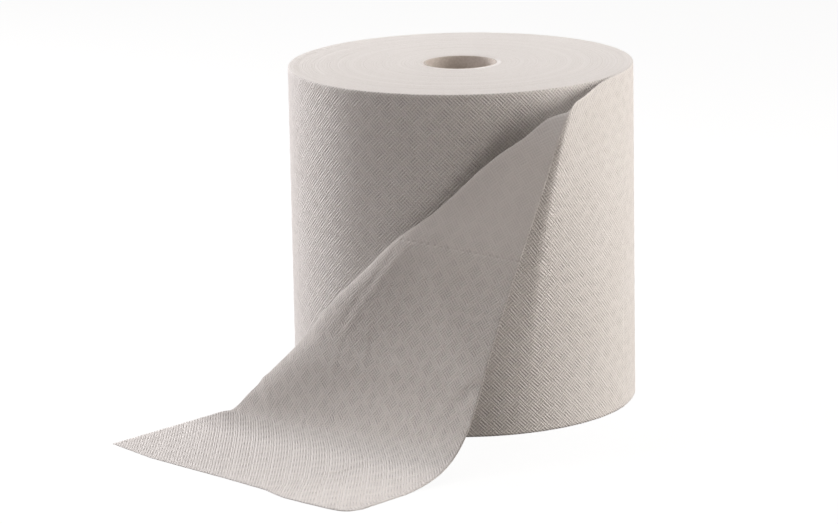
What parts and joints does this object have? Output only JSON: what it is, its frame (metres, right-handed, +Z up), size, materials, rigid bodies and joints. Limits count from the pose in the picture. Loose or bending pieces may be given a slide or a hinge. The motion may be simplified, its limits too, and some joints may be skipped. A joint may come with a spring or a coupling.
{
  "type": "paper towel roll",
  "caption": "Wide roll of embossed white paper towel on a cardboard core, standing on end, with its loose web folded forward and lying on the floor.",
  "frame": {"origin": "on the roll's axis, at the foot that the roll stands on", "axes": "+Z up along the roll's axis, -Y towards the front, where the loose web lies on the floor"},
  "size_m": [0.5339, 0.6042, 0.351],
  "materials": {
    "paper": "soft matt embossed tissue",
    "core_board": "plain matt board"
  },
  "bodies": {
    "root": {"paper_roll": "paper", "loose_web": "paper", "core_tube": "core_board"}
  },
  "joints": []
}
